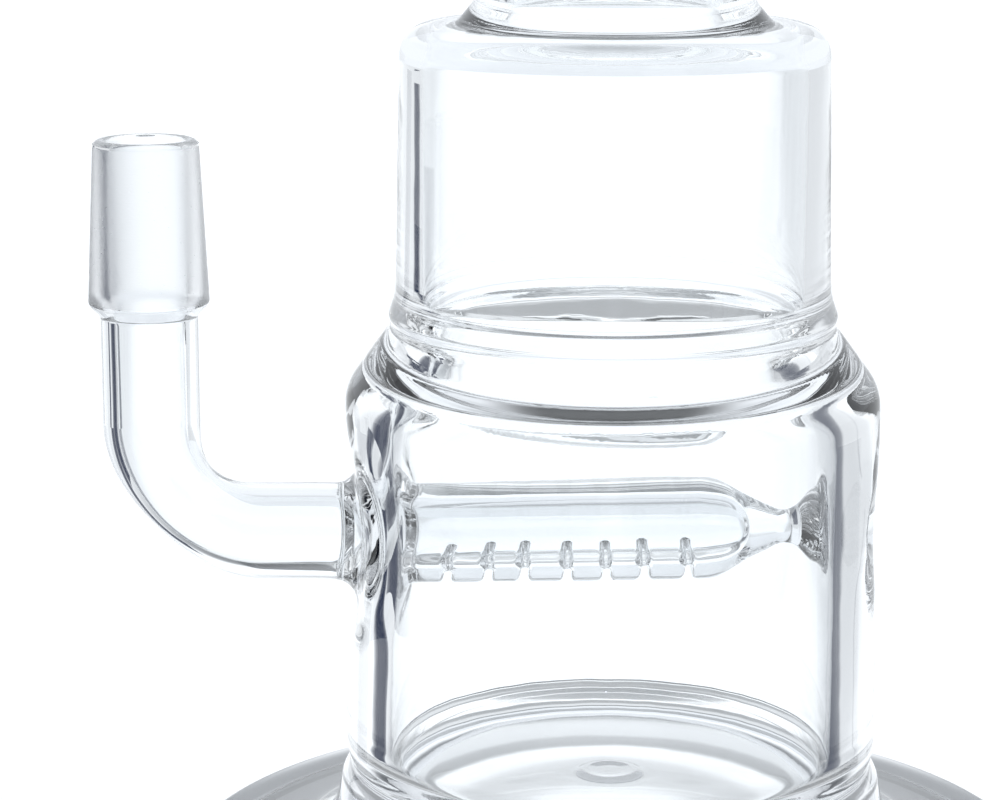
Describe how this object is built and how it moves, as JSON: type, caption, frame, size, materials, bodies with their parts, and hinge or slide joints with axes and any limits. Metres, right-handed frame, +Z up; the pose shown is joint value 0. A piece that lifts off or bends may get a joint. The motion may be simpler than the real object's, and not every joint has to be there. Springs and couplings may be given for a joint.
{
  "type": "glass bubbler",
  "caption": "Standing two-chamber glass bubbler with a round foot, a straight neck, a side arm with a ground male cone and a slotted inline diffuser inside.",
  "frame": {"origin": "centre of the foot's underside, on the vessel's axis", "axes": "+Z up the vessel's axis towards the mouth, -X towards the side arm and its ground cone, +Y completes the right-handed frame"},
  "size_m": [0.1167, 0.108, 0.194],
  "materials": {
    "clear_glass": "clear polished borosilicate",
    "ground_glass": "fine ground, frosted"
  },
  "bodies": {
    "root": {"foot": "clear_glass", "foot_collar": "clear_glass", "chamber_floor": "clear_glass", "lower_chamber": "clear_glass", "seam_ring": "clear_glass", "upper_chamber": "clear_glass", "neck_collar": "clear_glass", "neck_tube": "clear_glass", "mouth_lip": "clear_glass", "arm_joint": "ground_glass", "arm_tube": "clear_glass", "arm_weld": "clear_glass", "inner_weld": "clear_glass", "diffuser_tube": "clear_glass", "tip_weld": "clear_glass"}
  },
  "joints": []
}
